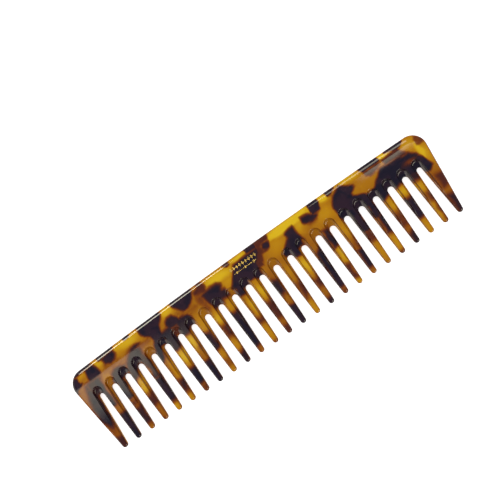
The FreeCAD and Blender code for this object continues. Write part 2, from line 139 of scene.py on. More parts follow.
def corner_inset(x, y):
    """Distance inwards from the corner's circle."""
    return CORNER_R - np.hypot(x - corner[0], y - corner[1])


def outline_top(x):
    """Height of the outline over x, for the back and the start of the corners."""
    out = np.abs(x)
    arc = corner[1] + np.sqrt(np.maximum(CORNER_R**2 - (out - corner[0]) ** 2, 0))
    return np.where(out > corner[0], arc, back_y(x))


def face_z(y):
    """Height of the broad face over the mid-plane."""
    y = np.asarray(y, float)
    back = HALF - (HALF - BACK_HALF) / (BACK_Y - CREASE_Y) * (y - CREASE_Y)
    tips = HALF - (HALF - TIP_HALF) * (TAPER_Y - y) / (TAPER_Y - TAPER_END_Y)
    z = np.full_like(y, HALF)
    # the buffed creases are a little soft
    for facet, softness, nearby in (
        (back, 0.0012, y > CREASE_Y - 2),
        (tips, 0.0006, y < TAPER_Y + 3),
    ):
        fall = HALF - facet
        z = z - 0.5 * (fall + np.sqrt(fall**2 + softness)) * nearby
    return z


# Profile of a scoop, summed from its slope: a rounded lip, a steep wall, a hollow floor
REACH = np.linspace(0, 4.3, 431)
FLOOR_INDEX, FLOOR_DEPTH = 410, 1.62
LIP = smooth(0, 0.4, REACH)
SLOPE = 1.9 * LIP * (1 - smooth(0.62, 1.75, REACH)) + 0.1 * LIP
DEPTH = np.concatenate([[0], np.cumsum((SLOPE[1:] + SLOPE[:-1]) / 2 * (REACH[1] - REACH[0]))])
DEPTH *= FLOOR_DEPTH / DEPTH[FLOOR_INDEX]


def dome(inset, reach, high, low, power):
    """Rounding over an edge: upright at low on the wall, level at high from reach inwards."""
    share = np.clip(inset / np.maximum(reach, 1e-6), 0, 1)
    return low + (high - low) * (1 - (1 - share) ** power) ** (1 / power)


def rim_z(inset, x, y):
    """Height near the outline: the face, cut by the rounded rim."""
    roll = 3.0 + 2.5 * smooth(15, 62, x)  # wider along the right half of the back
    ends = smooth(80, 87, np.abs(x)) * (1 - smooth(13.0, 18.5, y))
    reach = roll * (1 - ends) + np.where(x > 0, 1.7, 1.25) * ends
    shape = dome(inset, reach, HALF + 0.02, low=0.35, power=2.0)
    face = face_z(y)
    softness = 0.035
    return 0.5 * (face + shape - np.sqrt((face - shape) ** 2 + softness * softness))


def round_tooth(z, inset, width, y):
    """Blends z into a fully rounded section towards the tips."""
    rounded = dome(inset, np.minimum(width, 1.75), face_z(y), low=0.1, power=2.3)
    blend = smooth(-2.0, -13.0, y)
    return (1 - blend) * z + blend * rounded


# ------------------------------------------------------------------ patches
# A patch is a grid of points: rows from the outline inwards, columns along the outline.
RIM_ROWS = np.array([0, 0.05, 0.15, 0.32, 0.56, 0.82, 1.05, 1.35, 1.8, 2.5])  # distances inwards
INNER_ROWS, WALL_ROWS = 7, 2
IN_TIP, IN_FLANK, IN_TOP, IN_CORNER = 5, 42, 8, 16  # steps along each stretch of outline
# Shares of the way from the slot's rim to the scoop's upper line, and from there to the far side
SCOOP_STEPS = np.array([
    0, 0.025, 0.07, 0.14, 0.25, 0.38, 0.5, 0.6, 0.68, 0.75, 0.81, 0.865, 0.91, 0.95, 0.98, 1.0,
])
CROWN_STEPS = np.array([0.07, 0.4, 1.0])


def with_wall(x, y, z):
    """Joins a grid into points, with the upright wall from the mid-plane put before row 0."""
    steps = np.linspace(0, 1, WALL_ROWS + 1)[:-1]
    wall = (
        np.repeat(x[:1], WALL_ROWS, 0),
        np.repeat(y[:1], WALL_ROWS, 0),
        steps[:, None] * z[:1],
    )
    return np.stack([np.vstack(pair) for pair in zip(wall, (x, y, z))], -1)


def circle(centre, radius, angles, side=1):
    """Points on a circle, mirrored left to right when side is -1."""
    return np.stack([
        centre[0] + side * radius * np.cos(angles),
        centre[1] + radius * np.sin(angles),
    ], -1)


def centreline(tooth):
    """x of a tooth's centre line, and heights from the border down to its tip circle's centre."""
    x = tooth_x(tooth)
    return x, np.linspace(border_y(x), tip_y(x) + TIP_R, IN_FLANK + 1)


def flank_ends(tip, tip_r, top, top_r, side):
    """Upper and lower end of the straight flank between the slot's and the tip's circles."""
    span = top - tip
    angle = math.atan2(span[1], span[0]) - side * math.acos((tip_r + top_r) / math.hypot(*span))
    normal = np.array([math.cos(angle), math.sin(angle)])
    return top - top_r * normal, tip + tip_r * normal


def down_flank(centre, radius, angle, ends, side):
    """Down the circle from an angle to the flank's upper end, then down the flank."""
    upper, lower = ends
    start_y = centre[1] + radius * math.sin(angle)
    y = start_y + (lower[1] - start_y) * np.linspace(0, 1, IN_FLANK + 1)
    arc_x = centre[0] + side * np.sqrt(np.maximum(radius**2 - (y - centre[1]) ** 2, 0))
    share = (y - lower[1]) / (upper[1] - lower[1])
    line_x = lower[0] + share * (upper[0] - lower[0])
    return np.stack([np.where(y > upper[1], arc_x, line_x), y], -1)


def half_slot(slot, side):
    """Face between a slot and the centre line of the tooth on its right (+1) or left (-1)."""
    nominal_x, shift = slot_x(slot), slot_shift(slot)
    narrow, middle_x = abs(shift), nominal_x + shift
    centre_x, centre_ys = centreline(slot + 1 if side > 0 else slot)
    top = slot_top(nominal_x)
    slot_r, scoop_r = SLOT_R - narrow, SCOOP_R - narrow
    slot_c = np.array([middle_x, top - slot_r])
    scoop_c = np.array([middle_x, top + SCOOP_RISE - scoop_r])
    tip_c = np.array([centre_x, tip_y(centre_x) + TIP_R])
    slot_ends = flank_ends(tip_c, TIP_R, slot_c, slot_r, -side)
    scoop_ends = flank_ends(tip_c, CROWN_R, scoop_c, scoop_r, -side)

    # three lines, each over the slot's top, down the flank and round the tip
    steps = np.linspace(0, 1, IN_TOP + 1)
    upright, slot_turn, scoop_turn = math.pi / 2, math.radians(28), math.radians(42)
    from_tip = slot_ends[1] - tip_c
    tip_start, tip_end = math.atan2(from_tip[1], from_tip[0]), -math.pi / 2
    if side > 0 and tip_start > 0:
        tip_start -= 2 * math.pi  # this tooth's left flank: go down through -180 degrees
    tip_angles = tip_start + (tip_end - tip_start) * np.linspace(0, 1, IN_TIP + 1)
    inner = np.vstack([
        circle(slot_c, slot_r, upright + (slot_turn - upright) * steps, side),
        down_flank(slot_c, slot_r, slot_turn, slot_ends, side)[1:],
        circle(tip_c, TIP_R, tip_angles)[1:],
    ])
    mid = np.vstack([
        circle(scoop_c, scoop_r, upright + (scoop_turn - upright) * steps, side),
        down_flank(scoop_c, scoop_r, scoop_turn, scoop_ends, side)[1:],
        circle(tip_c, CROWN_R, tip_angles)[1:],
    ])
    border_x = middle_x + (centre_x - middle_x) * steps
    outer = np.vstack([
        np.stack([border_x, border_y(border_x)], -1),
        np.stack([np.full_like(centre_ys, centre_x), centre_ys], -1)[1:],
        np.repeat(tip_c[None], IN_TIP, 0),
    ])

    scoop_w = np.linalg.norm(mid - inner, axis=1)
    crown_w = np.linalg.norm(outer - mid, axis=1)
    rows = [inner + (mid - inner) * step for step in SCOOP_STEPS]
    rows += [mid + (outer - mid) * step for step in CROWN_STEPS]
    inset = [scoop_w * step for step in SCOOP_STEPS]
    inset = np.array(inset + [scoop_w + crown_w * step for step in CROWN_STEPS])
    in_scoop = [scoop_w * (1 - step) for step in SCOOP_STEPS]
    in_scoop = np.array(in_scoop + [np.zeros_like(crown_w)] * len(CROWN_STEPS))
    grid = np.array(rows)
    x, y = grid[..., 0], grid[..., 1]

    on_tip = np.arange(len(inner)) > IN_TOP + IN_FLANK
    width = np.where(on_tip, TIP_R, scoop_w + crown_w)
    inset[:, on_tip] = np.minimum(inset[:, on_tip], TIP_R)
    high = face_z(y)
    cut = high - np.interp(in_scoop, REACH, DEPTH) * (high / HALF)
    soft = 0.26  # radius of the edge along the slot
    lip = soft - np.sqrt(np.maximum(soft**2 - (soft - inset) ** 2, 0))
    cut = cut - np.where(inset < soft, lip, 0)
    z = round_tooth(cut, inset, width, y)
    z[-1] = high[-1]
    if side < 0:
        x, y, z = x[:, ::-1], y[:, ::-1], z[:, ::-1]
    return with_wall(x, y, z)


def rows_for(length):
    """Distances from the outline per column; short columns squeeze the rim rows."""
    squeeze = np.minimum(1.0, length / 3.3)
    rim = RIM_ROWS[:, None] * squeeze[None]
    rest = np.linspace(0, 1, INNER_ROWS + 1)[1:, None]
    return np.vstack([rim, rim[-1] + (length - rim[-1]) * rest])


def settle(z, y):
    """Brings the innermost rows exactly onto the broad face, where they meet the next patch."""
    share = smooth(len(RIM_ROWS) - 1, len(z) - 1, np.arange(len(z)))[:, None]
    return z * (1 - share) + face_z(y) * share


def back_patch():
    """The back, from its outline down to the border over the slots."""
    columns = []
    for slot in range(SLOTS):
        middle = slot_x(slot) + slot_shift(slot)
        columns += list(np.linspace(tooth_x(slot), middle, IN_TOP + 1)[:-1])
        columns += list(np.linspace(middle, tooth_x(slot + 1), IN_TOP + 1)[:-1])
    columns = np.array(columns + [tooth_x(TEETH - 1)])
    top = outline_top(columns)
    down = rows_for(top - border_y(columns))
    x = np.repeat(columns[None], len(down), 0)
    y = top[None] - down
    on_arc = (np.abs(x) > corner[0]) & (y > corner[1])
    inset = np.where(on_arc, np.maximum(corner_inset(np.abs(x), y), 0), down)
    return with_wall(x, y, settle(rim_z(inset, x, y), y))


def end_patch(sign):
    """Outer half of an end tooth and the corner of the back: right end (+1) or left end (-1)."""
    centre_x, centre_ys = centreline(TEETH - 1)
    border = border_y(centre_x)
    tip_c = np.array([centre_x, tip_y(centre_x) + TIP_R])
    # the tip's arc widens until it runs into the leaning end
    angles = np.linspace(-math.pi / 2, -TILT, IN_TIP + 1)
    ease = (angles + math.pi / 2) / (math.pi / 2 - TILT)
    tip = circle(tip_c, TIP_R + (gap_to_end(tip_c) - TIP_R) * ease**2, angles)
    flank_y = np.linspace(tip[-1][1], border, IN_FLANK + 1)
    flank = np.stack([end_x(flank_y), flank_y], -1)
    arc_end = math.acos((centre_x - corner[0]) / CORNER_R)
    arc = circle(corner, CORNER_R, np.linspace(-TILT, arc_end, IN_CORNER + 1))
    outline = np.vstack([tip, flank[1:], arc])
    inner = np.vstack([
        np.repeat(tip_c[None], IN_TIP + 1, 0),
        np.stack([np.full(IN_FLANK, centre_x), centre_ys[::-1][1:]], -1),
        np.repeat(np.array([[centre_x, border]]), len(arc), 0),
    ])
    length = np.linalg.norm(inner - outline, axis=1)
    along = rows_for(length)
    share = along / length[None]
    x = outline[None, :, 0] + (inner - outline)[None, :, 0] * share
    y = outline[None, :, 1] + (inner - outline)[None, :, 1] * share
    # true distance to the outline
    beyond = (x > corner[0]) & (np.arctan2(y - corner[1], x - corner[0]) > -TILT)
    inset = np.where(beyond, corner_inset(x, y), (end_x(y) - x) * math.cos(TILT))
    inset = np.maximum(np.where(y < tip_c[1], along, inset), 0)
    z = settle(round_tooth(rim_z(inset, x * sign, y), inset, length, y), y)
    if sign < 0:
        x, y, z = -x[:, ::-1], y[:, ::-1], z[:, ::-1]
    return with_wall(x, y, z)


# ------------------------------------------------------------------ body mesh
def join_patches(patches):
    """Points and quads of all patches, and of their mirror images below the mid-plane."""
    points, quads = [], []
    base = 0
    for patch in patches:
        rows, cols = patch.shape[:2]
        flat = patch.reshape(-1, 3)
        index = np.arange(rows * cols).reshape(rows, cols)
        quad = np.stack(
            [index[:-1, :-1], index[:-1, 1:], index[1:, 1:], index[1:, :-1]], -1
        ).reshape(-1, 4)
        # wind so that the broad face looks up
        first, second, third, fourth = (flat[quad[:, i]] for i in range(4))
        if np.cross(third - first, fourth - second)[:, 2].sum() < 0:
            quad = quad[:, ::-1]
        points.append(flat)
        quads.append(quad + base)
        base += len(flat)
    points, quads = np.vstack(points), np.vstack(quads)
    quads = np.vstack([quads, quads[:, ::-1] + len(points)])
    return np.vstack([points, points * np.array([1, 1, -1])]), quads


def zip_seam(shell, side_x, side_z):
    """Shares all points between both sides of the seam down an end tooth's centre line.

    The patches on either side meet round the tip with different steps.
    """

    def on_seam(edge):
        return all(
            abs(vert.co.x * MM - side_x * tooth_x(TEETH - 1)) < 0.01
            and (vert.co.z * MM - HALF) * side_z > -0.01
            for vert in edge.verts
        )

    def place(vert):
        return -vert.co.y * 1e4 - abs(vert.co.z * MM - HALF)

    open_edges = [edge for edge in shell.edges if len(edge.link_faces) == 1 and on_seam(edge)]
    points = {vert for edge in open_edges for vert in edge.verts}
    for edge in open_edges:
        start, end = edge.verts
        if place(start) > place(end):
            start, end = end, start
        low, high = place(start) + 1e-6, place(end) - 1e-6
        for vert in sorted((vert for vert in points if low < place(vert) < high), key=place):
            target = vert.co.copy()
            _, made = bmesh.utils.edge_split(edge, start, 0.5)
            made.co = target
            edge = [link for link in made.link_edges if end in link.verts][0]
            start = made


def comb_mesh():
    patches = [half_slot(slot, side) for slot in range(SLOTS) for side in (-1, 1)]
    patches += [back_patch(), end_patch(1), end_patch(-1)]
    points, quads = join_patches(patches)
    mesh = bpy.data.meshes.new("comb_shell")
    mesh.from_pydata(((points + np.array([0, 0, HALF])) / MM).tolist(), [], quads.tolist())
    shell = bmesh.new()
    shell.from_mesh(mesh)
    weld_distance = 4e-6  # metres
    bmesh.ops.remove_doubles(shell, verts=shell.verts, dist=weld_distance)
    bmesh.ops.dissolve_degenerate(shell, dist=1e-7, edges=shell.edges)
    for side_x in (1, -1):
        for side_z in (1, -1):
            zip_seam(shell, side_x, side_z)
    bmesh.ops.remove_doubles(shell, verts=shell.verts, dist=weld_distance)
    shell.to_mesh(mesh)
    shell.free()
    mesh.polygons.foreach_set("use_smooth", [True] * len(mesh.polygons))
    return mesh


# ------------------------------------------------------------------ tortoiseshell pattern
# Dark clouds of the sheet: darkness (0.3 a brown veil, 0.6 red-brown, 1 nearly black), softness
# of the edge, and a loose polygon of (x, y).
CLOUDS = [
    (1.0, 0.5, [(-93.6, 10.5), (-93.6, 16), (-90.3, 18), (-88.4, 16.6), (-88.2, 14.9),
     (-86.9, 13.8), (-88.4, 12.6), (-90.6, 11.6), (-91.2, 10.6)]),
    (0.95, 0.3, [(-90.2, 17.2), (-88, 18.9), (-79.4, 19.8), (-79, 18.0), (-84, 17.5), (-88, 17.2)]),
    (0.95, 0.3, [(-76.2, 20), (-67.6, 20.3), (-67.2, 18.6), (-70, 18.0), (-75.8, 17.7)]),
    (0.97, 0.6, [(-83.3, 17.5), (-79.2, 18), (-78, 15.2), (-77.6, 12.4), (-84, 12.6), (-83.9, 15)]),
    (0.95, 1.4, [(-87.6, 12), (-88.3, 9), (-89.6, 4.5), (-90.3, 1.5), (-90.3, -4), (-89.2, -8),
     (-87.2, -11), (-85.4, -9), (-84.3, -5), (-84.1, 2), (-84.1, 6), (-85.2, 9), (-86.4, 12)]),
    (0.8, 1.2, [(-87.0, 12.8), (-78.4, 12.6), (-79.2, 9.4), (-79.5, 4.5), (-86.2, 4.5)]),
    (0.24, 1.1, [(-93, 12.4), (-87.4, 12.6), (-88, 3), (-88.6, -3), (-92.4, -3)]),
    (0.33, 1.2, [(-77.6, 12.9), (-70, 13.4), (-64, 12.2), (-66.5, 9.5), (-70, 10.8), (-74, 11),
     (-77, 10.8)]),
    (0.95, 0.8, [(-74.4, 17.7), (-71, 18.1), (-67.9, 18.2), (-67.3, 16.2), (-68.8, 14.2),
     (-71.8, 13.4), (-73.9, 15)]),
    (0.4, 1.2, [(-75, 15), (-68, 14.2), (-66.5, 13.2), (-75, 12.8)]),
    (0.95, 0.9, [(-74.6, 9.8), (-72.2, 10.8), (-66.9, 9.9), (-66.7, 6), (-71, 5), (-71.3, -3.8),
     (-75.2, -4.3), (-75.2, 5.5)]),
    (0.9, 1.0, [(-66.6, 9.9), (-64.6, 11.4), (-62.5, 12.9), (-60.6, 13.6), (-58.2, 12.7),
     (-57, 11.4), (-57.5, 9), (-59, 6), (-62, 5.5), (-64.5, 2), (-68, -0.5), (-67.6, 4)]),
    (0.5, 1.1, [(-65, 12.6), (-62.8, 14.3), (-60.3, 14.9), (-57.5, 14.1), (-55.2, 12.7),
     (-52.5, 13.2), (-51.5, 11.8), (-56, 10.8), (-60, 11.5), (-64, 11)]),
    (0.88, 0.8, [(-61.4, 13.8), (-58.8, 14.5), (-56.2, 13.7), (-55, 12.6), (-60.5, 12.6)]),
    (0.8, 0.7, [(-60.8, 8.5), (-57.2, 9.5), (-56.4, 6), (-56.4, 1), (-57, -3.5), (-60, -3),
     (-58.9, 1.5), (-60.2, 5.2)]),
    (0.9, 0.25, [(-61.5, 20.6), (-58, 20.6), (-58.3, 18.6), (-59, 18.2), (-61.1, 18.3)]),
    (0.97, 0.6, [(-54.3, 20.9), (-41.8, 20.9), (-41.2, 19), (-42.6, 17), (-44.4, 15),
     (-45.3, 12.6), (-44.9, 10.6), (-45.9, 8.6), (-46, 6), (-49.4, 6), (-50, 2.5), (-52.8, -0.2),
     (-53.6, 3), (-52.9, 6), (-51.5, 9), (-50.3, 11), (-50.9, 12.7), (-53, 14.6), (-53.9, 17)]),
    (0.88, 0.6, [(-41.9, 14.6), (-40.2, 15.6), (-37.8, 15.4), (-36.3, 13.6), (-36, 12.4),
     (-34, 12.6), (-31.9, 11.9), (-30.7, 10.4), (-30.9, 7.5), (-31.5, 6), (-34, 5.6),
     (-35.2, 4.4), (-38.9, 4.6), (-38.5, 10.6), (-42.3, 10.9), (-42.4, 13)]),
    (0.92, 0.6, [(-35.8, 20.9), (-24.2, 20.9), (-24.3, 18.2), (-25.8, 16.2), (-27.8, 14.6),
     (-29.9, 13.4), (-31.8, 13.6), (-34.2, 15.6), (-35.9, 17.8)]),
    (0.6, 0.7, [(-42.6, 11.6), (-37.4, 11.6), (-37.2, 6), (-42.8, 6)]),
    (0.35, 1.3, [(-37, 14.4), (-35.2, 15.2), (-31, 13.4), (-27, 13.6), (-25, 12), (-29, 10.5),
     (-33, 12)]),
    (0.66, 0.5, [(-24.9, 17.4), (-22.3, 18.4), (-21.5, 20.9), (-19.2, 20.9), (-18.1, 17),
     (-19, 15.4), (-22.5, 15.5), (-24.6, 15.9)]),
    (0.93, 1.0, [(-23, 14.9), (-19, 15.5), (-14.2, 15.6), (-12.5, 14), (-13.3, 12), (-14.2, 9.5),
     (-15, 8), (-16, 6), (-20.2, 6), (-20.6, 8), (-21.4, 10.5), (-22.6, 12.8)]),
    (0.45, 1.1, [(-25, 15.8), (-22, 15.8), (-22, 12), (-21.4, 8), (-22.8, 6.5), (-24, 9),
     (-25.5, 12.5)]),
    (0.72, 0.25, [(-8.3, 20.9), (-3.8, 20.9), (-4.2, 18.3), (-5.6, 17.9), (-7.2, 18.9)]),
    (0.93, 0.6, [(-9.4, 9.4), (-7.6, 12), (-6.3, 13.9), (-4.9, 15.6), (-3.2, 17.3), (0, 17.65),
     (4, 17.7), (9.2, 17.9), (9, 16.2), (7.8, 14.8), (6.6, 13.2), (5.4, 12), (5.6, 9.8), (5.3, 6),
     (1.8, 6), (1.5, 7.5), (-1.9, 7.5), (-2.2, 6), (-5.2, 6), (-5.1, 4), (-9.4, 4.6), (-8.6, 8)]),
    (0.9, 0.2, [(4, 20.9), (9.1, 20.9), (9.3, 17.7), (4, 17.7)]),
    (0.62, 0.5, [(9, 20.9), (16.3, 20.9), (15.2, 17.6), (13.4, 18), (12.2, 17.4), (10.6, 16.2),
     (11, 15), (13.8, 14.4), (12, 13.6), (9, 13.5), (7, 11.5), (6, 10.2), (5.2, 12), (7, 14.5),
     (8.8, 16)]),
    (0.64, 0.5, [(4.6, 9.8), (5, 17.8), (11.2, 17.6), (11.4, 14.9), (9.6, 13.4), (8.4, 11.6),
     (7.6, 9.9)]),
    (0.95, 0.35, [(10.8, 16), (12.4, 18), (15.4, 16.9), (14, 14.6), (11.2, 15)]),
    (0.93, 0.6, [(21.7, 15.2), (26.5, 16.4), (26.9, 13), (27.3, 10.8), (27.9, 8.8), (27.2, 6),
     (23.8, 6), (23.6, 3.9), (19.8, 4.2), (20, 6), (17, 6), (16.8, 8.5), (18.4, 10.4),
     (20.4, 11.8), (21.8, 13.3)]),
    (0.9, 0.55, [(31.1, 17.4), (34.5, 17.2), (36.4, 16), (38.4, 14.4), (37.5, 13.2), (35.4, 12.7),
     (32.3, 13.2), (31, 14.6)]),
    (0.45, 1.0, [(30.8, 14.6), (38.8, 14.2), (37, 12.2), (33, 12)]),
    (0.93, 0.25, [(36.8, 20.9), (42.2, 20.9), (41.4, 17.3), (41.1, 15.1), (37.6, 15),
     (36.4, 16.3)]),
    (0.95, 0.3, [(46.4, 20.9), (50.6, 20.9), (50.4, 18.7), (48.2, 17.6), (45.9, 17.9)]),
    (0.96, 0.55, [(45.2, 12), (46.4, 14.5), (47.8, 16.6), (50.2, 17.6), (52.7, 18.5),
     (54.4, 17.3), (56.2, 16.1), (58.3, 14.9), (55.3, 13.4), (55, 12.6), (56.6, 10.9),
     (58.5, 10.2), (60.2, 9.4), (60.3, 4.4), (46, 4.4), (45.4, 9)]),
    (0.96, 0.55, [(60, 9.2), (62, 8.6), (64.6, 9.6), (66.6, 11.4), (68.3, 13), (70.6, 14.3),
     (74, 13.9), (80, 13.6), (84, 13.3), (86.3, 11), (87.2, 9), (88.7, 6.2), (89.4, 3.4),
     (86.6, 1.4), (85.4, 2.2), (84, 3.6), (80, 4.2), (60, 4.4)]),
    (0.95, 0.25, [(62.9, 20.9), (72.8, 20.9), (72.4, 17.3), (64, 17.2), (63.1, 18)]),
    (0.95, 0.3, [(77.5, 19.6), (85.7, 19.4), (84, 17.6), (82.8, 16.9), (79.7, 17.5), (76, 18.7)]),
    (0.72, 0.5, [(63.8, 17.2), (72.4, 17.2), (71.3, 15.5), (70, 14.6), (65.5, 14.2), (64, 15.5)]),
    (0.75, 0.5, [(72.6, 17.4), (81.5, 17.4), (82.2, 15.2), (83.6, 13.4), (74, 13.8), (72.9, 15.4)]),
    (0.6, 0.5, [(88.3, 16.2), (90.3, 17.6), (93.5, 15), (93.5, 12.8), (90.2, 12.7), (88.7, 13.4)]),
]
# Clouds on the teeth: tooth, y of the upper edge at its left and right flank, of the lower edge
# likewise, darkness, softness, and its reach across from -1 (left flank) to 1 (right flank).
TOOTH_CLOUDS = [
    (0, -8, -8.5, -14, -14, 0.4, 1.2, -1, 1), (0, -13.2, -14, -22, -22, 0.72, 1.0, -1, 1),
    (1, 12, 12, -2.8, -2.4, 0.95, 0.8, -1, 0.4), (1, -6.3, -6.9, -22, -22, 0.93, 0.9, -1, 1),
    (2, -4.6, -4.4, -8.5, -8, 0.55, 1.0, -1, 1), (2, -8, -8, -18, -17.5, 0.78, 1.0, -1, 1),
    (3, -7, -6, -14, -12.5, 0.72, 0.9, -1, 1), (3, -13.5, -13, -18, -18, 0.5, 0.9, -1, 0),
    (3, -17, -18.8, -22, -22, 0.75, 0.8, -1, 0.3), (4, -3.2, -3, -15.6, -15.2, 0.97, 0.9, -1, 1),
    (5, -8.6, -9.4, -15.8, -15, 0.74, 1.0, -0.6, 1), (6, 12, 12, 0.8, 2.6, 0.93, 0.8, -1, 1),
    (6, -7.4, -8.2, -16.8, -16, 0.97, 0.9, -1, 1), (6, -16.5, -16, -22, -22, 0.5, 1.0, -1, 1),
    (7, -2, -1, -4.5, -4, 0.4, 0.8, 0.1, 1), (7, -9.5, -9, -22, -22, 0.95, 1.1, -1, 1),
    (8, 0.8, 0, -9.6, -7.8, 0.96, 0.9, -1, 0.6), (8, -12.6, -12.2, -18.4, -18.6, 0.36, 1.1, -1, 1),
    (9, -0.8, -1.2, -6.5, -7.8, 0.68, 0.9, -0.7, 1), (9, -14.8, -13.8, -22, -22, 0.85, 1.0, -1, 1),
    (10, 12, 12, 8, 7, 0.85, 0.9, -1, 1), (10, 0.9, 0.6, -18.5, -16.5, 0.93, 0.9, -1, 1),
    (10, -18, -18, -22, -22, 0.55, 0.8, -1, 0), (11, -6.3, -7.2, -10.8, -9.8, 0.62, 1.0, -1, 1),
    (11, -19, -19, -22, -22, 0.5, 0.8, -1, 1), (12, -3.8, -3.2, -12.5, -13.5, 0.66, 1.1, -1, 1),
    (12, -15.5, -16, -22, -22, 0.6, 0.9, -1, 1), (13, 3.2, 1.5, -5.8, -5, 0.88, 1.0, -1, 0.8),
    (13, -9.8, -11.2, -22, -22, 0.9, 0.9, -1, 1), (14, -5, -3, -13.5, -10.5, 0.64, 1.1, -0.5, 1),
    (15, -7.4, -6.2, -12, -12.2, 0.72, 1.0, -0.5, 1), (15, -17.5, -16, -22, -22, 0.85, 0.9, -1, 1),
    (16, 0.2, 3.6, -17.5, -16.8, 0.96, 0.8, -0.7, 1), (16, -17, -17, -22, -22, 0.5, 1.0, -1, 1),
    (17, 7.3, 6.8, -2.4, -0.6, 0.9, 0.8, -0.5, 1),
    (17, -9.8, -10.5, -17.2, -17.4, 0.75, 1.1, -0.8, 0.5), (18, -5, -1.6, -9, -8, 0.6, 1.1, -0.1, 1),
    (18, -8.2, -7.8, -17.8, -17.6, 0.95, 0.9, -0.6, 1), (19, 12, 12, -3.9, -4.2, 0.95, 0.8, -1, 1),
    (19, -2.8, -2.8, -9.2, -8.8, 0.6, 1.2, -1, 1), (20, 9.3, 9, -2, -1.4, 0.95, 0.8, -0.8, 1),
    (20, -1, -1.4, -10.2, -10.9, 0.95, 0.8, -0.3, 1), (20, -18.6, -18.4, -22, -22, 0.6, 0.8, -1, 1),
    (21, 9, 9.8, 1.6, 3.4, 0.95, 0.8, -1, 1), (21, -5.2, -3.8, -12.5, -12, 0.55, 1.2, -1, 1),
    (21, -15.5, -12.5, -22, -22, 0.85, 1.0, -0.8, 1), (22, 12, 12, 3.6, 3.8, 0.95, 0.8, -1, 1),
    (22, -2.6, -2.4, -12.8, -12.4, 0.97, 0.9, -1, 1), (23, 12, 12, 2.2, 0.6, 0.82, 0.9, -1, 1),
    (23, -5.2, -4.8, -9.2, -10, 0.68, 1.1, -0.1, 1), (23, -8, -7, -22, -22, 0.8, 0.8, 0.35, 1.2),
    (24, -0.4, -1.0, -8.2, -7.4, 0.66, 1.1, -0.6, 2),
    (24, -10.6, -10.8, -22, -22, 0.84, 1.1, -0.7, 1.3),
]
# Lighter windows inside the clouds: x, y, half width, half height, share of pigment missing
WINDOWS = [
    (82, 9.4, 3.2, 1.1, 0.42), (89.6, 14.8, 1.8, 1.6, 0.25), (-77, 6.8, 2.1, 3.2, 0.85),
]
# Where the amber is thinnest it glows yellow: x, y, half width, half height, strength
GLOWS = [
    (-77, 16.8, 3, 2, 0.72), (-86, 16.4, 2.4, 0.5, 0.6), (-61, 17.3, 7.5, 2.4, 0.82),
    (-39, 17.8, 3.4, 2.2, 0.85), (-12, 17, 7.5, 2.4, 0.92), (-9.5, 13, 3, 3, 0.6),
    (0, 18.8, 4.5, 1.6, 0.9), (25, 18, 10.5, 2.0, 1.3), (29, 15, 2.5, 3, 0.7),
    (16.5, 13.5, 4, 3.5, 0.55), (44, 18.4, 3, 1.6, 1.0), (33, 18.6, 4, 1.2, 1.0),
    (57, 18.8, 7, 1.6, 0.78), (75, 18.4, 4, 1.6, 0.95), (61, 13, 6, 2.5, 0.3),
    (86, 16, 4, 2.6, 0.62), (90, 9, 1.8, 4.5, 0.66), (88.6, 11, 1.7, 5.5, 0.9),
    (41, 12.5, 4, 3, 0.55), (-65.4, -3, 1.6, 4, 0.72), (-50, -4, 1.1, 4.5, 0.5),
    (-43.6, -2.6, 1.7, 3.8, 0.8), (-36.8, 1, 1.6, 4.4, 0.8), (-29.2, 4, 2.4, 3.5, 0.5),
    (-28.6, -15.5, 2, 5, 0.55), (-21.9, 2.5, 1.6, 3.4, 0.72), (-21.9, -11, 2, 3, 0.5),
    (-14.6, 4, 2, 3, 0.5), (-6.6, -1.6, 1.4, 4.5, 0.72), (-7.3, -15, 2, 4, 0.5),
    (0, 1.4, 1.6, 4.2, 0.74), (14.6, 1, 1.6, 4, 0.36), (14.6, -17, 2, 3.5, 0.5),
    (21.9, -0.8, 1.7, 4.6, 0.78), (37.2, -5.5, 1.5, 4.5, 0.72), (36.5, -18.5, 2, 2, 0.6),
    (43.6, 2, 2.3, 4, 0.55), (51.1, -14, 2, 5, 0.45), (58.4, -14.5, 2, 4, 0.55),
    (66, -1, 1.8, 3, 0.6), (73, 1, 2.4, 2.4, 0.7), (72.6, -16.5, 2, 4, 0.55),
    (80, -1.5, 2, 3, 0.6), (79.6, -14, 1.6, 5, 0.55), (-58.4, -18, 2, 2, 0.6),
    (-51, -18.3, 2, 2, 0.5), (-83.4, 1.5, 0.8, 4, 0.6),
]
# How the pattern wanders, for x and y: slant per mm of depth, then (amount, feature size, seed)
# of the wander that grows with depth, of the broad wander and of the fine wander
WANDER = (
    (0.32, (0.3, 7.0, 3), (0.3, 4.2, 5), (0.05, 1.9, 7)),
    (-0.2, (0.25, 6.0, 4), (0.3, 3.9, 6), (0.05, 1.8, 8)),
)


def wave_noise(points, size, seed):
    """Smooth noise in about -1..1 from a few crossed waves of the given feature size."""
    rng = np.random.default_rng(seed)
    total = np.zeros(len(points))
    for _ in range(7):
        direction = rng.normal(size=3)
        direction /= np.linalg.norm(direction)
        turn = 2 * math.pi / (size * rng.uniform(0.8, 1.7))
        total += np.sin(points @ direction * turn + rng.uniform(0, 2 * math.pi))
    return total / 3.2


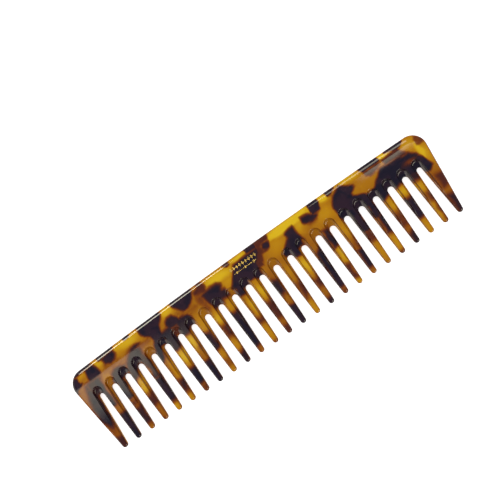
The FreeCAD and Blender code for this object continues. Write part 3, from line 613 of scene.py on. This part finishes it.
def polygon_distance(points, polygon):
    """Distance from points (n, 2) to a polygon, negative inside."""
    nearest = np.full(len(points), 1e9)
    inside = np.zeros(len(points), bool)
    for start, end in zip(polygon, np.roll(polygon, -1, 0)):
        edge = end - start
        offset = points - start
        share = np.clip((offset @ edge) / (edge @ edge), 0, 1)
        nearest = np.minimum(nearest, ((offset - share[:, None] * edge) ** 2).sum(1))
        crosses = (start[1] > points[:, 1]) != (end[1] > points[:, 1])
        rise = end[1] - start[1] if end[1] != start[1] else 1e-9
        x = start[0] + (points[:, 1] - start[1]) / rise * edge[0]
        inside ^= crosses & (points[:, 0] < x)
    distance = np.sqrt(nearest)
    return np.where(inside, -distance, distance)


def cloud_shapes():
    """Yields polygon, darkness and blur width of every cloud."""
    for dark, soft, polygon in CLOUDS:
        yield polygon, dark, soft * 1.45 + 0.1
    half, overhang = 2.0, 0.9
    for tooth, top_l, top_r, low_l, low_r, dark, soft, left, right in TOOTH_CLOUDS:
        x0 = tooth_x(tooth) + left * half - (overhang if left <= -1 else 0)
        x1 = tooth_x(tooth) + right * half + (overhang if right >= 1 else 0)
        # clouds wholly below the roots blur more
        blur = soft * (1.9 if top_l < 4.6 else 1.45) + 0.1
        yield [(x0, top_l), (x1, top_r), (x1, low_r), (x0, low_l)], dark, blur


def spot(flat, x, y, half_width, half_height, power):
    """Soft oval, 1 at its centre."""
    fall = ((flat[:, 0] - x) / half_width) ** 2 + ((flat[:, 1] - y) / half_height) ** 2
    return np.exp(-(fall**power) * 0.7)


def pattern(points):
    """Pigment density and glow at points."""
    depth = HALF - points[:, 2]
    flat = points[:, :2].copy()
    for axis, (slant, deep, broad, fine) in enumerate(WANDER):
        deep_noise = wave_noise(points * [1, 1, 0.4], *deep[1:])
        flat[:, axis] += slant * depth + deep_noise * deep[0] * np.minimum(depth, 4)
        flat[:, axis] += (
            broad[0] * wave_noise(points, *broad[1:]) + fine[0] * wave_noise(points, *fine[1:])
        )
    clear = np.ones(len(flat))
    for polygon, dark, blur in cloud_shapes():
        polygon = np.array(polygon, float)
        low, high = polygon.min(0) - 3, polygon.max(0) + 3
        near = np.where(((flat > low) & (flat < high)).all(1))[0]
        if not len(near):
            continue
        weight = 1 - smooth(-1.1, 1.1, polygon_distance(flat[near], polygon) / blur)
        clear[near] = np.minimum(clear[near], 1 - weight * dark)
    for *oval, strength in WINDOWS:
        clear += (1 - clear) * strength * spot(flat, *oval, power=1.5)
    ground = 0.1 + 0.13 * smooth(4, 9, flat[:, 1])
    glow = ground.copy()
    for *oval, strength in GLOWS:
        glow = np.maximum(glow, ground + (strength - ground) * spot(flat, *oval, power=1.3))
    return 1 - clear, glow


def read_vectors(collection, name):
    values = np.empty(len(collection) * 3)
    collection.foreach_get(name, values)
    return values.reshape(-1, 3)


def paint(mesh):
    """Stores the pattern (density, and glow with a painted light leak), the painted edge shade and
    the painted wall sheen on the vertices.
    """
    points = read_vectors(mesh.vertices, "co") * MM - np.array([0, 0, HALF])
    density, glow = pattern(points)
    normals = read_vectors(mesh.vertex_normals, "vector")
    x, y, z = points.T
    facing, lean = normals[:, 0], np.abs(normals[:, 2])

    # painted light: light leaking into the walls from below is painted in as thinner pigment and
    # more glow, on walls that face right towards the left end, and on walls that face left towards
    # the right end
    painted_leak_glow = smooth(1.5, 2.0, HALF - z) * (1 - smooth(0.25, 0.55, lean))
    painted_leak_glow *= (np.abs(x) < 87.5) * (np.abs(y) < 19)
    left_end = 1.1 * (1 - smooth(-84, -80, x)) * (0.55 + 0.45 * smooth(-10, 4, y))
    painted_leak_glow *= np.where(
        facing > 0,
        smooth(0.5, 0.9, facing) * (0.3 * (1 - smooth(-70, -30, x)) + left_end),
        0.5 * smooth(0.5, 0.9, -facing) * smooth(25, 65, x),
    )
    painted_leak_glow = np.clip(painted_leak_glow, 0, 1)
    density *= 1 - 0.95 * painted_leak_glow
    # painted glow from the leaking light
    glow = np.maximum(glow, 0.5 * painted_leak_glow)
    # painted shade: rounded edges are painted deeper in colour, as they look when seen slanting
    edges = (1 - smooth(0.3, 0.92, lean)) * (1 - painted_leak_glow)
    # painted shade: the rim of the two ends is darkened with extra pigment, for how it looks seen
    # through its own curve
    rim = (1 - smooth(0.4, 0.82, lean)) * smooth(-1.6, -0.9, np.abs(x) - end_x(y))
    rim *= np.abs(x) > 84
    density = np.maximum(density, 0.52 * rim * (1 - smooth(0.7, 1.5, HALF - np.abs(z))))

    # painted reflection: the walls that face left get a grey sheen painted on them; the same mask
    # makes the milled walls less polished
    slot = np.clip(np.round(x / PITCH + MIDDLE_SLOT), 0, SLOTS - 1)
    centre = slot_x(slot)
    across, above = x - centre, y - slot_top(centre)
    start = np.where(above > -0.5, 1.0 + (above + 0.5) * 0.19, 1.0)
    start = start - 0.8 * (1 - smooth(-60, 10, centre))
    lowest = -0.6 - 5.6 * smooth(10, 66, centre)
    sheen = smooth(start - 0.12, start + 0.12, across) * (1 - smooth(1.5, 2.3, above))
    sheen *= smooth(lowest - 0.3, lowest * 0.2, above)
    sheen *= (
        (1 - 0.6 * smooth(0, 1.2, across - start))
        * smooth(0.12, 0.35, HALF - np.abs(z))
        * smooth(0.12, 0.3, lean)
        * (0.75 + 0.25 * smooth(20, 60, centre))
        * (0.15 + 0.85 * smooth(0.2, 0.7, density))
    )
    layer = mesh.attributes.new("painted_wall_sheen", "FLOAT", "POINT")
    layer.data.foreach_set("value", sheen.astype(np.float32))
    layer = mesh.attributes.new("pattern_and_painted_light", "FLOAT_VECTOR", "POINT")
    values = np.stack([density, glow, edges], -1).astype(np.float32).reshape(-1)
    layer.data.foreach_set("vector", values)


# ------------------------------------------------------------------ materials
def srgb(*channels):
    """Linear colour from sRGB channels of 0 to 255."""

    def linear(value):
        value /= 255.0
        return value / 12.92 if value <= 0.04045 else ((value + 0.055) / 1.055) ** 2.4

    return (*map(linear, channels), 1.0)


class Nodes:
    """Fills the emptied node tree of a material or world."""

    def __init__(self, owner):
        owner.use_nodes = True
        self.tree = owner.node_tree
        self.tree.nodes.clear()

    def add(self, kind, inputs=None, **settings):
        node = self.tree.nodes.new(kind)
        for name, value in settings.items():
            setattr(node, name, value)
        for key, value in (inputs or {}).items():
            if isinstance(value, bpy.types.NodeSocket):
                self.tree.links.new(value, node.inputs[key])
            else:
                node.inputs[key].default_value = value
        return node

    def math(self, operation, first, second=0.0, clamp=False):
        inputs = {0: first, 1: second}
        return self.add("ShaderNodeMath", inputs, operation=operation, use_clamp=clamp).outputs[0]

    def scaled(self, value, times, plus):
        inputs = {0: value, 1: times, 2: plus}
        return self.add("ShaderNodeMath", inputs, operation="MULTIPLY_ADD").outputs[0]

    def ramp(self, value, low, high, to_low=0.0, to_high=1.0, kind="LINEAR"):
        inputs = {"Value": value, "From Min": low, "From Max": high}
        inputs |= {"To Min": to_low, "To Max": to_high}
        return self.add("ShaderNodeMapRange", inputs, interpolation_type=kind).outputs[0]

    def smooth_ramp(self, value, low, high):
        return self.ramp(value, low, high, kind="SMOOTHSTEP")

    def mix(self, factor, start, end, blend="MIX"):
        inputs = {0: factor, 6: start, 7: end}
        return self.add("ShaderNodeMix", inputs, data_type="RGBA", blend_type=blend).outputs[2]

    def object_place(self):
        return self.add("ShaderNodeTexCoord").outputs["Object"]

    def attribute(self, name, output):
        node = self.add("ShaderNodeAttribute", attribute_name=name, attribute_type="GEOMETRY")
        return node.outputs[output]

    def stretch(self, place, scale):
        return self.add("ShaderNodeMapping", {"Vector": place, "Scale": scale}).outputs[0]

    def noise(self, place, **inputs):
        return self.add("ShaderNodeTexNoise", {"Vector": place, **inputs}).outputs["Fac"]

    def bump(self, height, **inputs):
        return self.add("ShaderNodeBump", {"Height": height, **inputs}).outputs[0]

    def emission(self, colour, strength):
        return self.add("ShaderNodeEmission", {"Color": colour, "Strength": strength}).outputs[0]

    def output(self, source, kind="ShaderNodeOutputMaterial"):
        self.add(kind, {0: source})


def new_material(name):
    material = bpy.data.materials.new(name)
    return material, Nodes(material)


AMBER_DARK, AMBER_MID, AMBER_BRIGHT = srgb(156, 92, 24), srgb(190, 129, 20), srgb(231, 190, 34)
VEIL, RED_BROWN, BROWN = srgb(142, 76, 22), srgb(98, 47, 32), srgb(60, 37, 40)
BLUE_BLACK, PLUM_BLACK = srgb(35, 32, 46), srgb(52, 37, 49)
# colour of the painted shade multiplied onto rounded edges
PAINTED_EDGE_SHADE = (0.50, 0.36, 0.30, 1.0)
# grey of the painted sheen on the walls that face left
PAINTED_SHEEN_GREY = srgb(138, 130, 125)
FOIL_DARK, FOIL_LIGHT, FOIL_RUBBED = srgb(176, 138, 66), srgb(226, 194, 116), srgb(120, 82, 40)


def acetate():
    material, nodes = new_material("tortoiseshell_acetate")
    place = nodes.object_place()
    data = nodes.attribute("pattern_and_painted_light", "Vector")
    # pattern density, glow with painted light leak, and painted edge shade
    density, glow, edge = nodes.add("ShaderNodeSeparateXYZ", {0: data}).outputs
    # pigment never mixes evenly: wisps at the cloud edges and faint streaks inside
    wisps = nodes.noise(place, Scale=520.0, Detail=2.0, Roughness=0.5, Distortion=0.5)
    slow = nodes.noise(place, Scale=170.0, Detail=2.0, Roughness=0.5, Distortion=0.5)
    wisp = nodes.scaled(wisps, times=0.16, plus=-0.08)
    drift = nodes.scaled(slow, times=0.3, plus=-0.15)
    between = nodes.math("MULTIPLY", density, nodes.math("SUBTRACT", 1.0, density))
    unevenness = nodes.math(
        "MULTIPLY", nodes.math("ADD", wisp, drift), nodes.scaled(between, times=2.4, plus=0.16)
    )
    pigment = nodes.math("ADD", density, unevenness, clamp=True)

    def drifting_glow(amount):
        return nodes.math("ADD", glow, nodes.math("MULTIPLY", drift, amount))

    # from clear amber to nearly black
    amount = nodes.smooth_ramp(drifting_glow(amount=0.9), low=0.0, high=0.5)
    colour = nodes.mix(amount, AMBER_DARK, AMBER_MID)
    amount = nodes.smooth_ramp(drifting_glow(amount=0.6), low=0.4, high=1.05)
    colour = nodes.mix(amount, colour, AMBER_BRIGHT)
    colour = nodes.mix(nodes.smooth_ramp(pigment, low=0.04, high=0.4), colour, VEIL)
    colour = nodes.mix(nodes.smooth_ramp(pigment, low=0.32, high=0.62), colour, RED_BROWN)
    colour = nodes.mix(nodes.smooth_ramp(pigment, low=0.56, high=0.8), colour, BROWN)
    deep = nodes.mix(nodes.smooth_ramp(slow, low=0.4, high=0.62), BLUE_BLACK, PLUM_BLACK)
    colour = nodes.mix(nodes.smooth_ramp(pigment, low=0.74, high=0.96), colour, deep)
    # painted shade: darker colour multiplied onto the rounded edges
    edge_shade_share = 0.85
    colour = nodes.mix(nodes.math("MULTIPLY", edge, edge_shade_share), colour, PAINTED_EDGE_SHADE, "MULTIPLY")
    # painted reflection: a grey sheen in streaks, spread as milling marks would spread it, on the
    # scoops' walls that face left
    wall = nodes.attribute("painted_wall_sheen", "Fac")
    lines = nodes.stretch(place, scale=(3600.0, 320.0, 3600.0))
    lines = nodes.noise(lines, Scale=1.0, Detail=2.0, Roughness=0.5)
    streaks = nodes.ramp(lines, low=0.3, high=0.62, to_low=0.3, to_high=0.85)
    colour = nodes.mix(nodes.math("MULTIPLY", wall, streaks), colour, PAINTED_SHEEN_GREY)
    # polish: long faint buffing marks, uneven haze, duller milled walls where the sheen is painted
    marks = nodes.stretch(place, scale=(260.0, 5200.0, 5200.0))
    marks = nodes.noise(marks, Scale=1.0, Detail=3.0, Roughness=0.6)
    haze = nodes.noise(place, Scale=85.0, Detail=4.0, Roughness=0.6)
    rough = nodes.math(
        "ADD",
        nodes.ramp(haze, low=0.3, high=0.75, to_low=0.045, to_high=0.10),
        nodes.ramp(marks, low=0.35, high=0.8, to_low=0.0, to_high=0.035),
    )
    rough = nodes.scaled(wall, times=0.16, plus=rough)
    ripple = nodes.noise(place, Scale=48.0, Detail=1.0)
    bump = nodes.bump(marks, Strength=0.03, Distance=0.00005)
    bump = nodes.bump(ripple, Strength=0.22, Distance=0.0003, Normal=bump)
    shader = nodes.add(
        "ShaderNodeBsdfPrincipled",
        {"Base Color": colour, "Roughness": rough, "IOR": 1.49, "Normal": bump},
    )
    nodes.output(shader.outputs[0])
    return material


def gold_foil():
    material, nodes = new_material("gold_foil")
    place = nodes.object_place()
    grain = nodes.noise(place, Scale=4200.0, Detail=3.0, Roughness=0.6)
    rub = nodes.noise(place, Scale=700.0, Detail=3.0)
    colour = nodes.mix(nodes.smooth_ramp(grain, low=0.3, high=0.7), FOIL_DARK, FOIL_LIGHT)
    colour = nodes.mix(nodes.smooth_ramp(rub, low=0.56, high=0.72), colour, FOIL_RUBBED)
    rough = nodes.ramp(grain, low=0.3, high=0.7, to_low=0.32, to_high=0.55)
    bump = nodes.bump(grain, Strength=0.35, Distance=0.00002)
    shader = nodes.add(
        "ShaderNodeBsdfPrincipled",
        {"Base Color": colour, "Metallic": 0.85, "Roughness": rough, "Normal": bump},
    )
    nodes.output(shader.outputs[0])
    return material


# ------------------------------------------------------------------ pieces of the product
def add_object(name, data):
    made = bpy.data.objects.new(name, data)
    bpy.context.scene.collection.objects.link(made)
    return made


def hand_over(piece, replaced):
    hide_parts(replaced)
    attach(piece, "root")


def make_comb():
    mesh = comb_mesh()
    comb = add_object("comb_shell", mesh)
    paint(mesh)
    mesh.materials.append(acetate())
    hand_over(comb, "comb_body")


# Rings of a foil pillow: scale of the outline, height over the face
FOIL_RINGS = ((1.0, -0.03), (1.0, 0.006), (0.93, 0.02), (0.6, 0.022))


def foil_piece(name, outlines, foil, replaced):
    """Hot-pressed foil: thin pillows that follow the back facet, a hair above it."""
    points, faces = [], []
    for outline in outlines:
        ring = np.array(outline, float)
        middle = ring.mean(0)
        base, count = len(points), len(ring)
        for scale, lift in FOIL_RINGS:
            for x, y in middle + (ring - middle) * scale:
                points.append((x, y, float(face_z(y)) + HALF + lift))
        for level in range(len(FOIL_RINGS) - 1):
            low = base + level * count
            high = low + count
            for i in range(count):
                j = (i + 1) % count
                faces.append((low + i, low + j, high + j, high + i))
        faces.append(tuple(high + i for i in range(count)))
        faces.append(tuple(base + i for i in reversed(range(count))))
    data = bpy.data.meshes.new(name)
    data.from_pydata([tuple(np.array(point) / MM) for point in points], [], faces)
    data.materials.append(foil)
    hand_over(add_object(name, data), replaced)


def lozenge(x, y, half_x, half_y):
    """Anticlockwise lozenge with nipped corners."""
    ring = []
    for dir_x, dir_y in ((1, 0), (0, 1), (-1, 0), (0, -1)):
        for nip in (-0.13, 0.13):
            ring.append((
                x + dir_x * half_x * (1 - abs(nip)) - dir_y * half_x * nip,
                y + dir_y * half_y * (1 - abs(nip)) + dir_x * half_y * nip,
            ))
    return ring


def bar(x0, x1, y, half_y):
    return [(x0, y - half_y), (x1, y - half_y), (x1, y + half_y), (x0, y + half_y)]


FOIL_X = 0.5  # middle of both foil lines
ROW_Y, ROW_COUNT, ROW_STEP, ROW_BAR_INSET = 15.89, 9, 1.55, 0.5
RULE_Y, RULE_STEP = 13.74, 4.4
RULE_BARS = ((-5.6, -5.12), (-3.68, -0.72), (0.72, 3.68), (5.12, 5.6))  # from FOIL_X


def row_x(i):
    return FOIL_X + (i - ROW_COUNT // 2) * ROW_STEP


def make_foil():
    """A row of joined lozenges, and a broken rule with three lozenges on its tip side."""
    foil = gold_foil()
    row = [lozenge(row_x(i), ROW_Y, half_x=0.55, half_y=0.95) for i in range(ROW_COUNT)]
    row += [
        bar(row_x(i) + ROW_BAR_INSET, row_x(i + 1) - ROW_BAR_INSET, ROW_Y, half_y=0.1)
        for i in range(ROW_COUNT - 1)
    ]
    foil_piece("foil_row", row, foil, "foil_lozenges")
    rule = [lozenge(FOIL_X + i * RULE_STEP, RULE_Y, half_x=0.75, half_y=0.62) for i in (-1, 0, 1)]
    rule += [bar(FOIL_X + x0, FOIL_X + x1, RULE_Y, half_y=0.15) for x0, x1 in RULE_BARS]
    foil_piece("foil_line", rule, foil, "foil_rule")


# ------------------------------------------------------------------ stage, in metres
WHITE = (1, 1, 1, 1)
# Soft boxes: name, centre, two half axes, strength
LAMPS = (
    # long panels to the left, seen in the flat face at the left end and in walls facing left
    ("panel_left", (-0.54, -0.0575, 1.0), (0.20, 0, 0), (0, 0.0625, 0), 1.75),
    ("panel_left_back", (-0.54, 0.0475, 1.0), (0.20, 0, 0), (0, 0.0425, 0), 2.5),
    ("panel_far_left", (-1.06, 0.20, 0.62), (0.24, 0, 0.26), (0, 0.23, 0), 3.2),
    ("panel_left_end", (-0.285, -0.048, 1.0), (0.05, -0.008, 0), (0, 0.072, 0), 0.8),
    # low on the left, seen in the walls that face left
    ("panel_low_left", (-1.12, 0.02, 0.25), (0, 0.26, 0), (0.03, 0, 0.115), 2.6),
    # on the right and in front, seen in the scoops' upper left walls
    ("panel_front", (0.50, -0.875, 0.72), (0.45, 0.30, 0), (-0.06, 0.09, 0.168), 7.0),
    # above the right end, seen in the back facet
    ("panel_right", (0.235, 0.218, 1.0), (0.058, 0, 0), (0, 0.060, 0), 3.3),
    # behind the right half, seen in the broad bevel there
    ("panel_back", (0.21, 0.80, 0.72), (0.11, 0, 0), (0, -0.10, 0.10), 5.0),
    # a strip behind the comb, seen as a thin line along the back
    ("strip_back", (-0.315, 0.66, 0.775), (0.185, 0, 0), (0, -0.24, 0.19), 15.0),
)


def plane(name, centre, half_u, half_v, material):
    """A rectangle from its centre and two half axes."""
    centre, half_u, half_v = np.array(centre), np.array(half_u), np.array(half_v)
    corners = [
        tuple(centre + sign_u * half_u + sign_v * half_v)
        for sign_u, sign_v in ((-1, -1), (1, -1), (1, 1), (-1, 1))
    ]
    data = bpy.data.meshes.new(name)
    data.from_pydata(corners, [], [(0, 1, 2, 3)])
    data.materials.append(material)
    made = add_object(name, data)
    return made


def table_material():
    material, nodes = new_material("white_table")
    grain = nodes.noise(nodes.object_place(), Scale=900.0, Detail=2.0)
    bump = nodes.bump(grain, Strength=0.1, Distance=0.0001)
    diffuse = nodes.add("ShaderNodeBsdfDiffuse", {"Color": (0.92, 0.92, 0.92, 1), "Normal": bump})
    glow = nodes.emission(WHITE, strength=0.72)
    both = nodes.add("ShaderNodeAddShader", {0: diffuse.outputs[0], 1: glow}).outputs[0]
    # mirrored in the polished edges the table is only a dim warm glow
    dim = nodes.emission((1, 0.86, 0.66, 1), strength=0.42)
    mirrored = nodes.add("ShaderNodeLightPath").outputs["Is Glossy Ray"]
    nodes.output(nodes.add("ShaderNodeMixShader", {0: mirrored, 1: both, 2: dim}).outputs[0])
    return material


def light_material(name, strength, grid):
    material, nodes = new_material(name)
    if grid:
        # a grid on the lamp: nothing leaves it far to the side
        incoming = nodes.add("ShaderNodeNewGeometry").outputs["Incoming"]
        sideways = nodes.add("ShaderNodeSeparateXYZ", {0: incoming}).outputs[0]
        sideways = nodes.math("ABSOLUTE", sideways)
        passed = nodes.ramp(sideways, low=0.36, high=0.41, to_low=1.0, to_high=0.0)
        strength = nodes.math("MULTIPLY", passed, strength)
    nodes.output(nodes.emission((1, 0.965, 0.75, 1), strength))
    return material


def make_stage():
    plane("table", (0, 0, -0.0002), (3, 0, 0), (0, 3, 0), table_material())
    for name, centre, half_u, half_v, strength in LAMPS:
        material = light_material(name, strength, grid=name == "strip_back")
        lamp = plane(name, centre, half_u, half_v, material)
        lamp.visible_camera = False
        lamp.visible_diffuse = False
        lamp.visible_shadow = False


def make_world():
    """White to the camera, a dark room in reflections, an even fill otherwise."""
    world = bpy.data.worlds.new("studio")
    bpy.context.scene.world = world
    nodes = Nodes(world)
    path = nodes.add("ShaderNodeLightPath")
    direction = nodes.add("ShaderNodeTexCoord").outputs["Generated"]
    height = nodes.add("ShaderNodeSeparateXYZ", {0: direction}).outputs[2]
    amount = nodes.smooth_ramp(height, low=0.0, high=0.5)
    room = nodes.mix(amount, srgb(96, 96, 100), srgb(22, 22, 26))
    amount = nodes.smooth_ramp(height, low=-0.1, high=1.0)
    fill = nodes.mix(amount, srgb(225, 226, 230), srgb(250, 250, 250))
    sky = nodes.mix(path.outputs["Is Glossy Ray"], fill, room)
    sky = nodes.mix(path.outputs["Is Camera Ray"], sky, WHITE)
    background = nodes.add("ShaderNodeBackground", {"Color": sky, "Strength": 1.0})
    nodes.output(background.outputs[0], "ShaderNodeOutputWorld")


# The camera looks down, rolled 35 degrees and a few degrees off square to the comb
CAMERA_AXES = np.array([  # rows: its right, up and backward directions
    [0.809455, -0.578997, -0.097746],
    [0.582286, 0.812962, 0.006475],
    [0.075707, -0.062155, 0.995193],
])
CAMERA_PLACE = np.array([27.910, 5.793, 299.803 + HALF]) / MM


def make_camera():
    data = bpy.data.cameras.new("camera")
    camera = add_object("camera", data)
    data.lens = 52.5
    data.sensor_width = 36.0
    data.clip_start = 0.01
    data.clip_end = 20.0
    pose = np.eye(4)
    pose[:3, :3] = CAMERA_AXES.T
    pose[:3, 3] = CAMERA_PLACE
    camera.matrix_world = pose.T.tolist()  # a nested list is taken column by column
    bpy.context.scene.camera = camera


make_comb()
make_foil()
make_stage()
make_world()
make_camera()

view = bpy.context.scene.view_settings
view.view_transform = "Standard"
view.look = "None"
view.exposure = 0.0
view.gamma = 1.0

bpy.context.view_layer.update()
